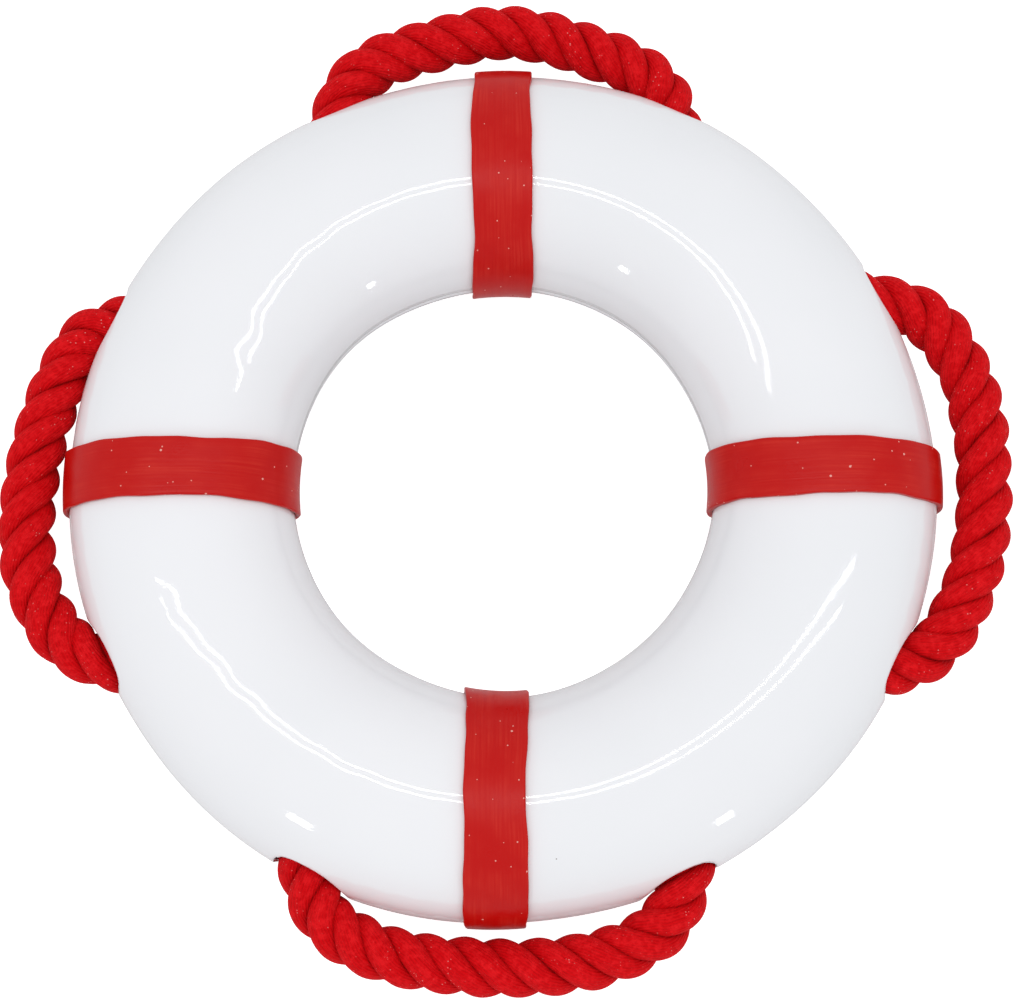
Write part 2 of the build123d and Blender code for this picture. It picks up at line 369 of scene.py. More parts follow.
@dataclass(frozen=True)
class RopeYarn:
    """Soft red rope: yarns that run along the rope, fine fibres, fuzz and pale lint, with painted shade in
    the grooves and a painted highlight in the fuzz on the crests.
    """

    # deep: the painted shade colour laid into the grooves and between the yarns
    deep: tuple = colour(0.30, 0.0, 0.001)
    body: tuple = colour(0.68, 0.001, 0.004)
    # paler red of the fuzz, partly real fuzz and partly a painted highlight on the crests
    nap_and_highlight: tuple = colour(0.82, 0.010, 0.014)
    lint: tuple = colour(0.95, 0.45, 0.42)
    yarns: float = 26.0

    def material(self) -> bpy.types.Material:
        """Builds the material.

        The UV map holds the length along the strand in millimetres, less the yarns' own turn, and
        the share of a turn round the strand. The attribute crown is 1 on the outside of the rope
        and 0 at its centre; it sets where shade is painted into the grooves and a highlight onto the
        crests.
        """
        g = Graph("rope_yarn")
        split = g.node("SeparateXYZ", {0: g.uv_place()})
        along, round_it = split.outputs[0], split.outputs[1]
        place = g.object_place()
        wander = g.math("MULTIPLY", g.math("SUBTRACT", g.noise(place, 160.0, 2.0), 0.5), 0.055)
        turn = g.math("ADD", round_it, wander)
        phase = g.math("MULTIPLY", turn, self.yarns * math.tau)
        ridge = g.math("MULTIPLY_ADD", g.math("SINE", phase), 0.5)
        ridge.node.inputs[2].default_value = 0.5
        fibre_place = g.node("CombineXYZ", {0: g.math("MULTIPLY", along, 0.11),
                                            1: g.math("MULTIPLY", turn, 150.0)}).outputs[0]
        fibres = g.noise(fibre_place, 1.0, 3.0, 0.65)
        nap_noise = g.noise(place, 420.0, 4.0, 0.65)
        crown = g.node("Attribute", attribute_name="crown").outputs["Fac"]
        crest = g.ramp(crown, 0.70, 1.0)
        # painted highlight: the paler fuzz colour goes onto the crests only, broken up by noise
        nap_highlight_mask = g.math("MULTIPLY", crest, g.ramp(nap_noise, 0.38, 0.68))
        # painted shade: the rope is painted darker towards its centre, in the grooves between the strands
        shade = g.mix(g.ramp(crown, 0.58, 0.86), self.deep, self.body)
        # painted shade: darker lines painted between the yarns
        lined = g.mix(g.math("MULTIPLY", g.ramp(ridge, 0.35, 0.0), 0.34), shade, self.deep)
        with_nap_highlight = g.mix(nap_highlight_mask, lined, self.nap_and_highlight)
        patches = g.ramp(g.noise(place, 120.0, 3.0), 0.45, 0.68)
        lint_dots = g.math("MULTIPLY", g.dots(place, 900.0, 0.24, 0.2), g.math("MULTIPLY", patches, crest))
        lit = g.mix(g.math("MULTIPLY", lint_dots, 0.6), with_nap_highlight, self.lint)
        fibre_bump = g.bump(fibres, 0.0004, 0.55)
        nap_bump = g.bump(nap_noise, 0.0003, 0.4, fibre_bump)
        g.set(Base_Color=lit, Roughness=g.ramp(nap_noise, 0.3, 0.7, 0.62, 0.85),
              Normal=g.bump(ridge, 0.0005, 0.6, nap_bump))
        g.set(IOR=1.45, Sheen_Weight=0.08, Sheen_Roughness=0.4, Specular_IOR_Level=0.08)
        g.shader.inputs["Sheen Tint"].default_value = colour(1.0, 0.12, 0.12)
        return g.material


@dataclass(frozen=True)
class PlainPlastic:
    """Plain moulded or extruded plastic with a fine grain, for the pieces inside."""

    name: str
    base: tuple
    worn: tuple
    roughness: float

    def material(self) -> bpy.types.Material:
        """Builds the material."""
        g = Graph(self.name)
        place = g.object_place()
        patches = g.noise(place, 60.0, 3.0)
        grain = g.noise(place, 1500.0, 2.0)
        g.set(Base_Color=g.mix(g.ramp(patches, 0.3, 0.75), self.base, self.worn),
              Roughness=g.ramp(grain, 0.2, 0.8, self.roughness - 0.06, self.roughness + 0.06),
              Normal=g.bump(grain, 0.00003, 0.4))
        g.set(IOR=1.49)
        return g.material


@dataclass(frozen=True)
class RigidFoam:
    """Cut closed-cell foam: pale cells with darker walls."""

    base: tuple = colour(0.78, 0.70, 0.45)
    wall: tuple = colour(0.62, 0.52, 0.28)

    def material(self) -> bpy.types.Material:
        """Builds the material."""
        g = Graph("rigid_foam")
        place = g.object_place()
        cells = g.node("TexVoronoi", {"Vector": place, "Scale": 700.0}).outputs["Distance"]
        tint = g.noise(place, 40.0, 3.0)
        g.set(Base_Color=g.mix(g.ramp(cells, 0.2, 0.7), self.base, self.wall),
              Roughness=g.ramp(tint, 0.3, 0.7, 0.85, 0.97), Normal=g.bump(cells, 0.0004, 0.6))
        return g.material


# ---------------------------------------- the rope
class RopeLine:
    """The smooth centre line of one quarter of the rope, read from its own spline."""

    def __init__(self, side: Side) -> None:
        """Sets the quarter up from the middle of one sleeve to the middle of the next."""
        self.side = side
        before, after = LOOP_ROUTES[SIDE_BEFORE[side]], LOOP_ROUTES[NEXT_SIDE[side]]
        own = LOOP_ROUTES[side]
        start = np.add(before[-1], own[0]) / 2
        end = np.add(own[-1], after[0]) / 2
        route = [tuple(start), *own, tuple(end)]
        self.points = self._read_spline(route)
        steps = np.linalg.norm(np.diff(self.points, axis=0), axis=1)
        self.measure = np.concatenate([[0], np.cumsum(steps)])
        self.length = float(self.measure[-1])

    def _read_spline(self, route: Sequence[tuple[float, float]]) -> np.ndarray:
        """Puts the route's points into a NURBS spline and reads the smooth line back."""
        data = bpy.data.curves.new(f"route_{self.side.word}", "CURVE")
        data.dimensions = "3D"
        spline = data.splines.new("NURBS")
        spline.points.add(len(route) - 1)
        for point, (x, y) in zip(spline.points, route):
            point.co = (x * MM, y * MM, 0, 1)
        spline.order_u = 3
        spline.use_endpoint_u = True
        spline.resolution_u = 24
        holder = bpy.data.objects.new(data.name, data)
        bpy.context.scene.collection.objects.link(holder)
        bpy.context.view_layer.update()
        mesh = bpy.data.meshes.new_from_object(holder)
        flat = np.empty(len(mesh.vertices) * 3)
        mesh.vertices.foreach_get("co", flat)
        bpy.data.objects.remove(holder)
        bpy.data.meshes.remove(mesh)
        line = flat.reshape(-1, 3)
        moved = np.linalg.norm(np.diff(line, axis=0), axis=1) > 1e-7
        return line[np.concatenate([[True], moved])]

    def at(self, distance: np.ndarray) -> np.ndarray:
        """Points at given distances along the line."""
        return np.stack([np.interp(distance, self.measure, self.points[:, k]) for k in range(3)], axis=-1)

    def direction(self, distance: np.ndarray) -> np.ndarray:
        """Unit directions at given distances: the line's difference over half a millimetre each way."""
        half = 0.5 * MM
        low, high = np.clip(distance - half, 0, self.length), np.clip(distance + half, 0, self.length)
        return unit(self.at(high) - self.at(low))


# Slow waves along one quarter of the rope: heights and counts. The lay's are in radians, and the
# bulge's in millimetres.
LAY_WAVES = ((0.09, 0.05, 0.03), (2, 5, 9))
BULGE_WAVES = ((0.10, 0.08), (7, 12))
# Each lump on a strand: its height in millimetres, its count in one lay, and its count round the strand.
STRAND_LUMPS = ((0.10, 3.3, 2), (0.07, 5.7, 3), (0.05, 9.1, 5), (0.035, 17.0, 8))


@dataclass
class GrabRope:
    """One quarter of the three-strand rope: its grab loop and its two ends inside the body."""

    line: RopeLine
    first_turn: float
    strands: int = 3
    strand_radius: float = 5.35 * MM
    strand_offset: float = 6.12 * MM
    lay: float = 43.0 * MM
    visual_diameter: float = 22.9 * MM
    ring_spacing: float = 0.56 * MM
    points_round: int = 50
    yarn_lay: float = 46.0 * MM
    lay_play: float = 0.7
    seed: int = 7

    def build(self) -> bpy.types.Object:
        """Builds the strands as one mesh.

        Each strand's centre is the line's point plus an offset that turns once round in one lay. Its
        section is an oval round that centre, square to the strand's own direction.

        Returns:
            The finished piece.
        """
        count = int(self.line.length / self.ring_spacing)
        distance = np.linspace(0, self.line.length, count)
        middle, along = self.line.at(distance), self.line.direction(distance)
        side_way = unit(np.cross(UP, along))
        rng = np.random.default_rng(self.seed + self.line.side.value)
        points, faces, uvs, crowns = [], [], [], []
        for strand in range(self.strands):
            centres, outward = self._strand_path(strand, distance, middle, side_way, rng)
            way = unit(np.gradient(centres, axis=0))
            outward = unit(outward - np.sum(outward * way, axis=1, keepdims=True) * way)
            across = np.cross(way, outward)
            grid = self._skin(centres, outward, across, distance, rng)
            start = sum(len(p) for p in points)
            points.append(grid.reshape(-1, 3))
            quads = quads_of_grid(count, self.points_round, wrap_columns=True)
            faces.extend((quads + start).tolist())
            uvs.append(self._yarn_uv(distance))
            ends = np.arange(self.points_round) + start
            last_ring = (count - 1) * self.points_round
            faces.extend([ends[::-1].tolist(), (ends + last_ring).tolist()])
            uvs.append(np.zeros((2 * self.points_round, 2)))
            crowns.append(self._crown(grid, middle))
        piece = mesh_piece(f"grab_rope_{self.line.side.word}", np.concatenate(points), faces,
                           np.concatenate(uvs))
        # crown sets the painted shade in the grooves and the painted highlight on the crests
        crown = piece.data.attributes.new("crown", "FLOAT", "POINT")
        crown.data.foreach_set("value", np.concatenate(crowns).astype(np.float32))
        return piece

    def _strand_path(self, strand: int, distance: np.ndarray, middle: np.ndarray, side_way: np.ndarray,
                     rng: np.random.Generator) -> tuple[np.ndarray, np.ndarray]:
        """Centres of one strand, and its unit vectors away from the rope's centre line, middle.

        The vector side_way is level and square to the rope, and rng shifts the lay and the bulge.
        """
        along = distance / self.line.length * math.tau
        uneven = waves(along, *LAY_WAVES, rng.uniform(0, math.tau, 3))
        turned = math.tau * distance / self.lay + self.first_turn + strand * math.tau / self.strands
        angle = (turned + uneven * self.lay_play)[:, None]
        outward = np.cos(angle) * side_way + np.sin(angle) * UP
        bulge = waves(along, *BULGE_WAVES, rng.uniform(0, math.tau, 2))
        offset = (self.strand_offset + bulge * MM)[:, None]
        return middle + offset * outward, outward

    def _skin(self, centres: np.ndarray, outward: np.ndarray, across: np.ndarray, distance: np.ndarray,
              rng: np.random.Generator) -> np.ndarray:
        """Rings of points on the strand: near-round sections with shallow lumps that drift along it.

        Each section lies in the plane of outward and across, and rng shifts the lumps.
        """
        around = np.arange(self.points_round)[None, :] / self.points_round * math.tau
        far = distance[:, None] / self.lay * math.tau
        lumps = np.zeros((len(distance), self.points_round))
        for height, long_count, round_count in STRAND_LUMPS:
            lumps += height * np.sin(long_count * far + round_count * around + rng.uniform(0, math.tau))
        radius = self.strand_radius + lumps * MM
        ring = (np.cos(around)[..., None] * outward[:, None, :]
                + np.sin(around)[..., None] * across[:, None, :])
        return centres[:, None, :] + radius[..., None] * ring

    def _yarn_uv(self, distance: np.ndarray) -> np.ndarray:
        """UV of each quad corner: millimetres along, and the turn round the strand with its own twist."""
        count = len(distance)
        length = distance / MM
        twist = distance / self.yarn_lay
        low_round = np.arange(self.points_round) / self.points_round
        high_round = low_round + 1 / self.points_round
        corners = np.empty((count - 1, self.points_round, 4, 2))
        order = [(0, low_round), (0, high_round), (1, high_round), (1, low_round)]
        for corner, (step, share) in enumerate(order):
            rows = slice(step, count - 1 + step)
            corners[:, :, corner, 0] = length[rows][:, None]
            corners[:, :, corner, 1] = share[None, :] + twist[rows][:, None]
        return corners.reshape(-1, 2)

    def _crown(self, grid: np.ndarray, middle: np.ndarray) -> np.ndarray:
        """How far out each point is, as a share of the rope's outer radius."""
        reach = np.linalg.norm(grid - middle[:, None, :], axis=-1)
        return (reach / (self.strand_offset + self.strand_radius)).ravel()


# ---------------------------------------- the moulded body
# The moulding's slow waves round the ring: heights in millimetres, counts and shifts.
OUTLINE_WAVES = ((0.35, 0.45, 0.25, 0.12), (2, 4, 6, 11), (0.8, 3.3, 1.1, 2.0))
HOLE_WAVES = ((0.4, 0.3, 0.15), (3, 5, 8), (0.3, 2.2, 1.4))
CREST_WAVES = ((0.10, 0.06), (3, 7), (2.1, 0.7))
RIPPLES = ((0.030, 0.022), (31, 47), (0.4, 1.9))
RIPPLED_SIDE = math.radians(190)


@dataclass
class MouldedBody:
    """The two half shells, with their eight turned-in mouths for the rope."""

    lines: dict
    ring_radius: float = field(default_factory=lambda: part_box("shell_front")[1].x)
    half_depth: float = field(default_factory=lambda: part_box("shell_front")[1].z)
    hole_radius: float = 85.0 * MM
    mouth_radius: float = 11.7 * MM
    mouth_stretch: float = 1.145
    mouth_power: float = 2.4
    seam_rounding: float = 1.4 * MM
    crest_rounding: float = 3.6 * MM
    turned_in: float = 9.0 * MM
    turned_share: float = 0.62
    wall: float = 2.0 * MM
    rim_wall: float = 0.25 * MM
    thin_within: float = 2.5 * MM
    thickens_over: float = 5.0 * MM
    seam_groove: float = 0.28 * MM
    columns: int = 860
    rows: int = 50
    mouth_angle: float = math.radians(10.5)
    equator_angle: float = math.radians(32)
    first_row: float = 0.0045
    mouth_band: float = math.radians(48)
    mouth_zone: float = 14.0 * MM
    rope_step: float = 0.35 * MM
    search_reach: float = 42.0 * MM

    def __post_init__(self) -> None:
        """Works out the section and joins the rope's lines into one closed line."""
        self.middle_radius = (self.ring_radius + self.hole_radius) / 2
        self.half_width = (self.ring_radius - self.hole_radius) / 2
        parts = [line.at(np.arange(0, line.length, self.rope_step)) for line in self.lines.values()]
        self.rope = np.concatenate(parts)
        self.rope_way = unit(np.roll(self.rope, -3, axis=0) - np.roll(self.rope, 3, axis=0))
        self.rope_angle = np.maximum.accumulate(np.unwrap(np.arctan2(self.rope[:, 1], self.rope[:, 0])))
        outside = np.linalg.norm(self.rope[:, :2], axis=1) > self.ring_radius
        self.leaves = np.flatnonzero(outside & ~np.roll(outside, 1))
        self.enters = np.flatnonzero(~outside & np.roll(outside, 1))

    def unevenness(self, points: np.ndarray) -> np.ndarray:
        """Moves points by the moulding's slow waves: the outline breathes, and the crest dips."""
        angle = np.arctan2(points[:, 1], points[:, 0])
        reach = np.linalg.norm(points[:, :2], axis=1)
        away = points[:, :2] / reach[:, None]
        outer = ease((reach - self.middle_radius) / self.half_width * 0.5 + 0.5)
        outline, hole = waves(angle, *OUTLINE_WAVES), waves(angle, *HOLE_WAVES)
        radial = (outline * outer + hole * (1 - outer)) * MM
        rippled = ease(0.5 + 0.9 * np.cos(angle - RIPPLED_SIDE))
        swirl = np.sin(reach / MM * 0.16 + 3.0 * angle) * 0.03
        raised = (waves(angle, *CREST_WAVES) + waves(angle, *RIPPLES) * rippled + swirl) * MM
        lift = raised * points[:, 2] / self.half_depth
        return points + np.column_stack([away * radial[:, None], lift])

    def _spread(self, density: np.ndarray, places: np.ndarray, count: int) -> np.ndarray:
        """Places spread so that their number over a stretch follows the density there."""
        total = np.concatenate([[0], np.cumsum((density[1:] + density[:-1]) / 2 * np.diff(places))])
        return np.interp(np.linspace(0, total[-1], count), total, places)

    def _parameters(self) -> tuple[np.ndarray, np.ndarray]:
        """Angles round the ring, closest at the mouths, and angles round the half section."""
        angle = np.linspace(0, math.tau, 7201)
        density = np.full_like(angle, 0.34)
        for index in [*self.leaves, *self.enters]:
            mouth = math.atan2(self.rope[index, 1], self.rope[index, 0])
            gap = np.abs((angle - mouth + math.pi) % math.tau - math.pi)
            density += 1.25 * np.exp(-((gap / self.mouth_angle) ** 6))
        round_ring = self._spread(density, angle, self.columns + 1)[:-1]
        section = np.linspace(0, math.pi, 1801)
        section_density = 0.30 + np.exp(-((section / self.equator_angle) ** 6))
        round_section = self._spread(section_density, section, self.rows)
        return round_ring, np.insert(round_section, 1, self.first_row)

    def _nearest(self, points: np.ndarray) -> np.ndarray:
        """Number of the rope point closest to each point, among those at about its angle."""
        first = self.rope_angle[0]
        angle = (np.arctan2(points[:, 1], points[:, 0]) - first) % math.tau + first
        middle = np.searchsorted(self.rope_angle, angle)
        reach = int(self.search_reach / self.rope_step)
        window = (middle[:, None] + np.arange(-reach, reach + 1)[None, :]) % len(self.rope)
        gap = points[:, None, :2] - self.rope[window, :2]
        return window[np.arange(len(points)), np.argmin(np.einsum("ijk,ijk->ij", gap, gap), axis=1)]

    def _body_distance(self, points: np.ndarray) -> tuple[np.ndarray, np.ndarray]:
        """Signed distance to the plain oval ring, nearly, and its outward direction."""
        reach = np.linalg.norm(points[:, :2], axis=1)
        out = (reach - self.middle_radius) / self.half_width
        high = points[:, 2] / self.half_depth
        level = np.sqrt(out**2 + high**2)
        slope_out, slope_high = out / (level * self.half_width), high / (level * self.half_depth)
        steep = np.sqrt(slope_out**2 + slope_high**2)
        level_way = points[:, :2] / reach[:, None] * slope_out[:, None]
        way = np.column_stack([level_way, slope_high]) / steep[:, None]
        return (level - 1) / steep, way

    def _bore_place(self, points: np.ndarray) -> tuple[np.ndarray, ...]:
        """Where each point is in its section of the bore.

        The mouths are taller than they are wide, with squarish corners: the bore's wall is where
        (|s|^p + |z / stretch|^p)^(1/p) is the mouth's radius.

        Returns:
            Number of the nearest rope point, the places sideways and upwards, and the first side of
            that equation, as a size.
        """
        near = self._nearest(points)
        side_way = np.cross(UP, self.rope_way[near])
        sideways = np.sum((points - self.rope[near]) * side_way, axis=1)
        high = points[:, 2]
        power = self.mouth_power
        size = (np.abs(sideways) ** power + np.abs(high / self.mouth_stretch) ** power) ** (1 / power)
        return near, sideways, high, np.maximum(size, 1e-9)

    def _bore_distance(self, points: np.ndarray) -> tuple[np.ndarray, np.ndarray]:
        """Distance inside the rope's bore, nearly, and the direction away from the bore's wall."""
        near, sideways, high, size = self._bore_place(points)
        level = self.mouth_power - 1
        slope_side = np.sign(sideways) * (np.abs(sideways) / size) ** level
        slope_high = np.sign(high) * (np.abs(high / self.mouth_stretch) / size) ** level
        slope_high = slope_high / self.mouth_stretch
        steep = np.maximum(np.hypot(slope_side, slope_high), 1e-6)
        outward = slope_side[:, None] * np.cross(UP, self.rope_way[near]) + slope_high[:, None] * UP
        return (self.mouth_radius - size) / steep, -outward / steep[:, None]

    def _settle(self, points: np.ndarray) -> np.ndarray:
        """Moves points onto the body with its bores taken out and the rims rounded.

        The surface is where the larger of two distances is zero: to the oval ring, and into the
        bore. Near the rim the two are blended, by adding h^2 k / 4 with h = 1 - |a - b| / k.
        """
        for _ in range(6):
            a, way_a = self._body_distance(points)
            b, way_b = self._bore_distance(points)
            high = np.clip(points[:, 2] / (self.mouth_radius * self.mouth_stretch), 0, 1)
            rounding = self.seam_rounding + (self.crest_rounding - self.seam_rounding) * high**2
            h = np.clip(1 - np.abs(a - b) / rounding, 0, None)
            value = np.maximum(a, b) + h * h * rounding / 4
            share = np.clip(0.5 + 0.5 * (a - b) / rounding, 0, 1)[:, None]
            slope = share * way_a + (1 - share) * way_b
            steep = np.maximum(np.sum(slope**2, axis=1), 0.15)
            points = points - (value / steep)[:, None] * slope
        return points

    def _front_surface(self) -> tuple[np.ndarray, np.ndarray, np.ndarray]:
        """Points, quads and share of the full wall of the front half.

        A point of the oval ring is (R + a cos v) out from the axis and b sin v high. Where it falls
        inside a bore, it is drawn to the bore's wall and down along the rope, and the middle of
        each mouth is left open.
        """
        round_ring, round_section = self._parameters()
        v, u = np.meshgrid(round_section, round_ring, indexing="ij")
        out = self.middle_radius + self.half_width * np.cos(v)
        grid = np.stack([out * np.cos(u), out * np.sin(u), self.half_depth * np.sin(v)], axis=-1)
        points = grid.reshape(-1, 3)
        chosen = np.flatnonzero((v < self.mouth_band).ravel())
        gap = -self._bore_distance(points[chosen])[0]
        close = gap < self.mouth_zone
        chosen = chosen[close]
        depth = np.zeros(len(points))
        thick = np.ones(len(points))
        thick[chosen] = np.clip((gap[close] - self.thin_within) / self.thickens_over, 0, 1)
        moved, sunk = self._draw_in(points[chosen])
        points[chosen] = self._settle(moved)
        depth[chosen] = sunk
        seam = slice(0, self.columns)
        points[seam, 2] = 0.0
        points = self.unevenness(points)
        points[seam, :2] *= 1 - self.seam_groove / self.ring_radius
        turned_fully = depth >= 0.999
        quads = quads_of_grid(len(round_section), self.columns, wrap_columns=True)
        quads = quads[~np.all(turned_fully[quads], axis=1)]
        used = np.unique(quads)
        renumber = np.zeros(len(points), int)
        renumber[used] = np.arange(len(used))
        return points[used], renumber[quads], thick[used]

    def halves(self) -> dict:
        """Builds the two half shells: the back one mirrors the front one in the middle plane."""
        points, quads, thick = self._front_surface()
        shells = {}
        for half in Half:
            placed = points * np.array([1, 1, half.value])
            facing = quads[:, ::half.value].tolist()
            shell = mesh_piece(f"body_{half.name.lower()}", placed, facing)
            self._give_wall(shell, thick)
            shells[half] = shell
        return shells

    def _draw_in(self, points: np.ndarray) -> tuple[np.ndarray, np.ndarray]:
        """Draws points inside a bore to its wall and inwards along the rope.

        Returns:
            The new points, and how deep each went, as a share of the turned-in length.
        """
        near, sideways, high, size = self._bore_place(points)
        share = size / self.mouth_radius
        inside = share < 1
        depth = np.where(inside, np.clip((1 - share) / self.turned_share, 0, 1), 0.0)
        mouths = np.concatenate([self.leaves, self.enters])
        inward = np.concatenate([-np.ones(len(self.leaves)), np.ones(len(self.enters))])
        offsets = near[:, None] - mouths[None, :]
        half_way = len(self.rope) // 2
        wrapped = (offsets + half_way) % len(self.rope) - half_way
        nearest_mouth = np.argmin(np.abs(wrapped), axis=1)
        steps = np.round(depth * self.turned_in / self.rope_step * inward[nearest_mouth]).astype(int)
        target = (near + steps) % len(self.rope)
        ring = sideways[:, None] * np.cross(UP, self.rope_way[target]) + high[:, None] * UP
        wall_points = self.rope[target] + ring / share[:, None]
        return np.where(inside[:, None], wall_points, points), depth

    def _give_wall(self, shell: bpy.types.Object, thick: np.ndarray) -> None:
        """Gives the shell its wall, thinner round the mouths and where it turns in along the rope."""
        group = shell.vertex_groups.new(name="wall")
        least = self.rim_wall / self.wall
        levels = 20
        steps = np.round(thick * levels).astype(int)
        for step in np.unique(steps):
            members = np.flatnonzero(steps == step).tolist()
            group.add(members, least + (1 - least) * float(step) / levels, "REPLACE")
        solid = shell.modifiers.new("wall", "SOLIDIFY")
        solid.thickness = self.wall
        solid.offset = -1
        solid.vertex_group = group.name


# ---------------------------------------- the straps
# Heights in millimetres of the waves in a strap's edges and in its thickness.
EDGE_HEIGHTS = (0.42, 0.30, 0.16, 0.10)
SWELL_HEIGHTS = (0.10, 0.06)


@dataclass
class Strap:
    """One vinyl strap round the body's section, with its own uneven edges."""

    side: Side
    body: MouldedBody
    seed: int
    thickness: float = 2.3 * MM
    edge_round: float = 0.75 * MM
    slit: float = 0.8 * MM
    squeeze: float = 0.985
    standing_off: float = 0.1 * MM
    crown: float = 0.12 * MM
    roll_step: float = 400.0
    steps_round: int = 360
    steps_flat: int = 18
    steps_edge: int = 5

    def __post_init__(self) -> None:
        """Reads the strap's place and width from its node."""
        low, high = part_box(f"band_{self.side.word}")
        across = Vector((-self.side.outward.y, self.side.outward.x, 0))
        ends = sorted((low.dot(across), high.dot(across)))
        self.across = np.array(across)
        self.outward = np.array(self.side.outward)
        sideways, wider = STRAP_FIT[self.side]
        self.shift = (ends[0] + ends[1]) / 2 + sideways * MM
        self.width = ends[1] - ends[0] + wider * MM

    def _profile(self) -> tuple[np.ndarray, np.ndarray]:
        """The strap's cross-section as a closed loop: shares of the half width, and heights."""
        r, top, half = self.edge_round, self.thickness, self.width / 2
        turn = np.linspace(0, math.pi / 2, self.steps_edge, endpoint=False)
        flat = np.linspace(-half + r, half - r, self.steps_flat, endpoint=False)
        wide = np.concatenate([flat, half - r + r * np.sin(turn), np.full(2, half), -flat,
                               -half + 0 * turn[:2], -half + r - r * np.cos(turn)])
        high = np.concatenate([np.full(self.steps_flat, top), top - r + r * np.cos(turn),
                               np.array([top - r, (top - r) / 2]), np.zeros(self.steps_flat),
                               np.array([0.0, (top - r) / 2]), top - r + r * np.sin(turn)])
        return wide, high

    def build(self) -> bpy.types.Object:
        """Builds the strap: its cross-section carried round the oval section of the body.

        Returns:
            The finished strap.
        """
        wide, high = self._profile()
        slit_angle = self.slit / self.body.half_width
        start, end = -math.pi / 2 + slit_angle / 2, 3 * math.pi / 2 - slit_angle / 2
        v = np.linspace(start, end, self.steps_round)[:, None]
        rng = np.random.default_rng(self.seed)
        shifts = rng.uniform(0, math.tau, 12)
        left_edge = waves(v, EDGE_HEIGHTS, (2, 5, 9, 17), shifts[:4])
        right_edge = waves(v, EDGE_HEIGHTS, (3, 4, 8, 15), shifts[4:8])
        edge_share = wide[None, :] / (self.width / 2)
        drift = np.where(edge_share > 0, right_edge * edge_share, left_edge * -edge_share) * MM
        tangent = wide[None, :] * self.squeeze + drift + self.shift
        outside = high[None, :] > self.edge_round / 4
        swell = waves(v, SWELL_HEIGHTS, (3, 7), shifts[8:10]) * outside
        lifted = np.clip(high[None, :] + swell * MM, 0, None) + self.standing_off
        lifted = lifted + self.crown * (1 - edge_share**2) * outside
        out = self.body.middle_radius + (self.body.half_width + lifted) * np.cos(v)
        outward = np.sqrt(out**2 - tangent**2)
        height = (self.body.half_depth + lifted) * np.sin(v)
        points = (outward[..., None] * self.outward + tangent[..., None] * self.across
                  + height[..., None] * UP).reshape(-1, 3)
        points = self.body.unevenness(points)
        columns = len(wide)
        faces = quads_of_grid(self.steps_round, columns, wrap_columns=True).tolist()
        last = (self.steps_round - 1) * columns
        faces.extend([np.arange(columns)[::-1].tolist(), (np.arange(columns) + last).tolist()])
        uv = self._uv(points.reshape(self.steps_round, columns, 3))
        return mesh_piece(f"strap_{self.side.word}", points, faces, uv)

    def _uv(self, grid: np.ndarray) -> np.ndarray:
        """UV of each face corner in millimetres: along the strap and across it."""
        steps = np.linalg.norm(np.diff(grid[:, self.steps_flat // 2], axis=0), axis=1)
        along = np.concatenate([[0], np.cumsum(steps)]) / MM + self.roll_step * self.seed
        girth = np.linalg.norm(np.diff(np.vstack([grid[0], grid[0][:1]]), axis=0), axis=1)
        across = np.concatenate([[0], np.cumsum(girth)]) / MM
        rows, columns = grid.shape[:2]
        corners = np.empty((rows - 1, columns, 4, 2))
        for corner, (step, side) in enumerate([(0, 0), (0, 1), (1, 1), (1, 0)]):
            corners[:, :, corner, 0] = along[step:rows - 1 + step][:, None]
            corners[:, :, corner, 1] = across[None, side:columns + side]
        return np.concatenate([corners.reshape(-1, 2), np.zeros((2 * columns, 2))])


